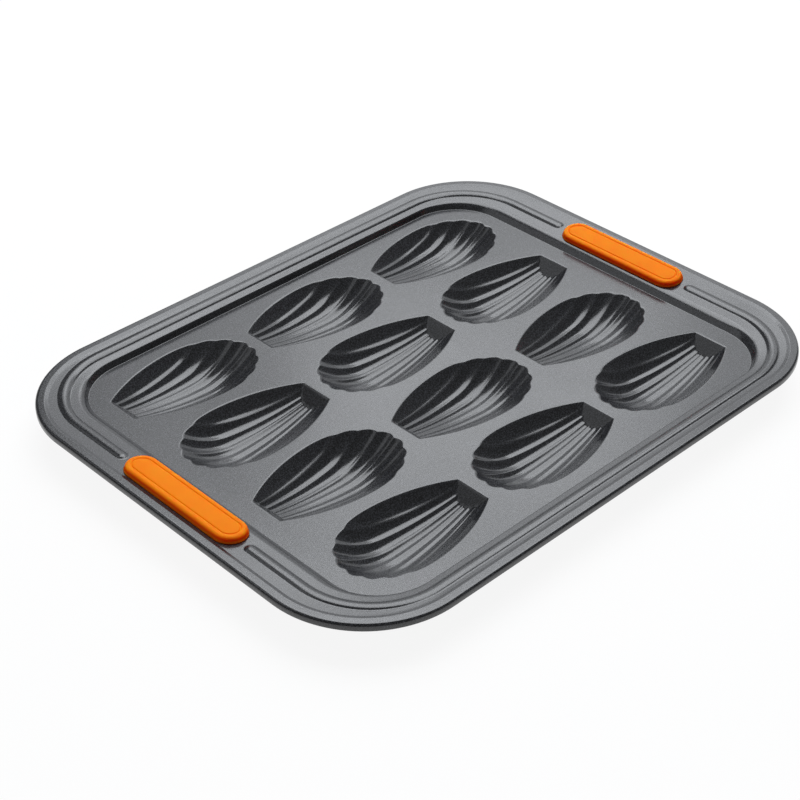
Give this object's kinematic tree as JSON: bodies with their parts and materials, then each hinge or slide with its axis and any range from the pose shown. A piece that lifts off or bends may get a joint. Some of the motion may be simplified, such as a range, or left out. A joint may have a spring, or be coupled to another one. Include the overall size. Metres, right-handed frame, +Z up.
{
  "type": "madeleine pan",
  "caption": "Rectangular non-stick baking pan with rows of fluted shell-shaped cups, a raised beaded rim and a soft silicone grip at each end.",
  "frame": {"origin": "middle of the pan, on the surface that its cup bottoms stand on", "axes": "+X from grip to grip along the cups, +Y across the rows of cups, +Z up out of the cups"},
  "size_m": [0.3438, 0.2732, 0.0229],
  "materials": {
    "coated_steel": "pressed carbon steel with a satin dark grey non-stick coating",
    "silicone": "moulded orange silicone, satin"
  },
  "bodies": {
    "root": {"pan_sheet": "coated_steel", "grip_left": "silicone", "grip_right": "silicone"}
  },
  "joints": []
}
